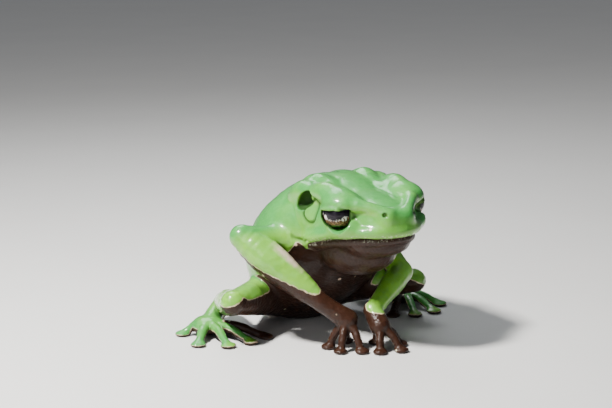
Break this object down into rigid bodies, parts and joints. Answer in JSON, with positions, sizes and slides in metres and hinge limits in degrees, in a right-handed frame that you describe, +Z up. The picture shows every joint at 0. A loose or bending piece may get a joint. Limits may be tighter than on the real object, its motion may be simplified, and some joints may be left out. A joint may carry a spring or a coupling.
{
  "type": "tree frog",
  "caption": "Life-size still model of a large green leaf frog sitting upright on the floor: broad flat head, dark eyes, long folded limbs and disc-tipped fingers and toes.",
  "frame": {"origin": "middle of the bounding box's base, on the floor under the animal", "axes": "+Z up; the animal faces mostly -Y, turned 33 degrees towards +X, and its right side is on the -X side"},
  "size_m": [0.1006, 0.089, 0.0606],
  "materials": {
    "skin": "smooth waxy skin, satin with wet highlights; green above, brown below",
    "eye": "polished, dark violet-grey iris with silver and gold flecks"
  },
  "bodies": {
    "root": {"eye_l": "eye", "eye_r": "eye", "finger_l1": "skin", "finger_l2": "skin", "finger_l3": "skin", "finger_l4": "skin", "finger_r1": "skin", "finger_r2": "skin", "finger_r3": "skin", "finger_r4": "skin", "foot_l": "skin", "foot_r": "skin", "forearm_l": "skin", "forearm_r": "skin", "hand_l": "skin", "hand_r": "skin", "head": "skin", "lower_jaw": "skin", "shank_l": "skin", "shank_r": "skin", "thigh_l": "skin", "thigh_r": "skin", "toe_l1": "skin", "toe_l2": "skin", "toe_l3": "skin", "toe_l4": "skin", "toe_l5": "skin", "toe_r1": "skin", "toe_r2": "skin", "toe_r3": "skin", "toe_r4": "skin", "toe_r5": "skin", "trunk": "skin", "upper_arm_l": "skin", "upper_arm_r": "skin"}
  },
  "joints": []
}
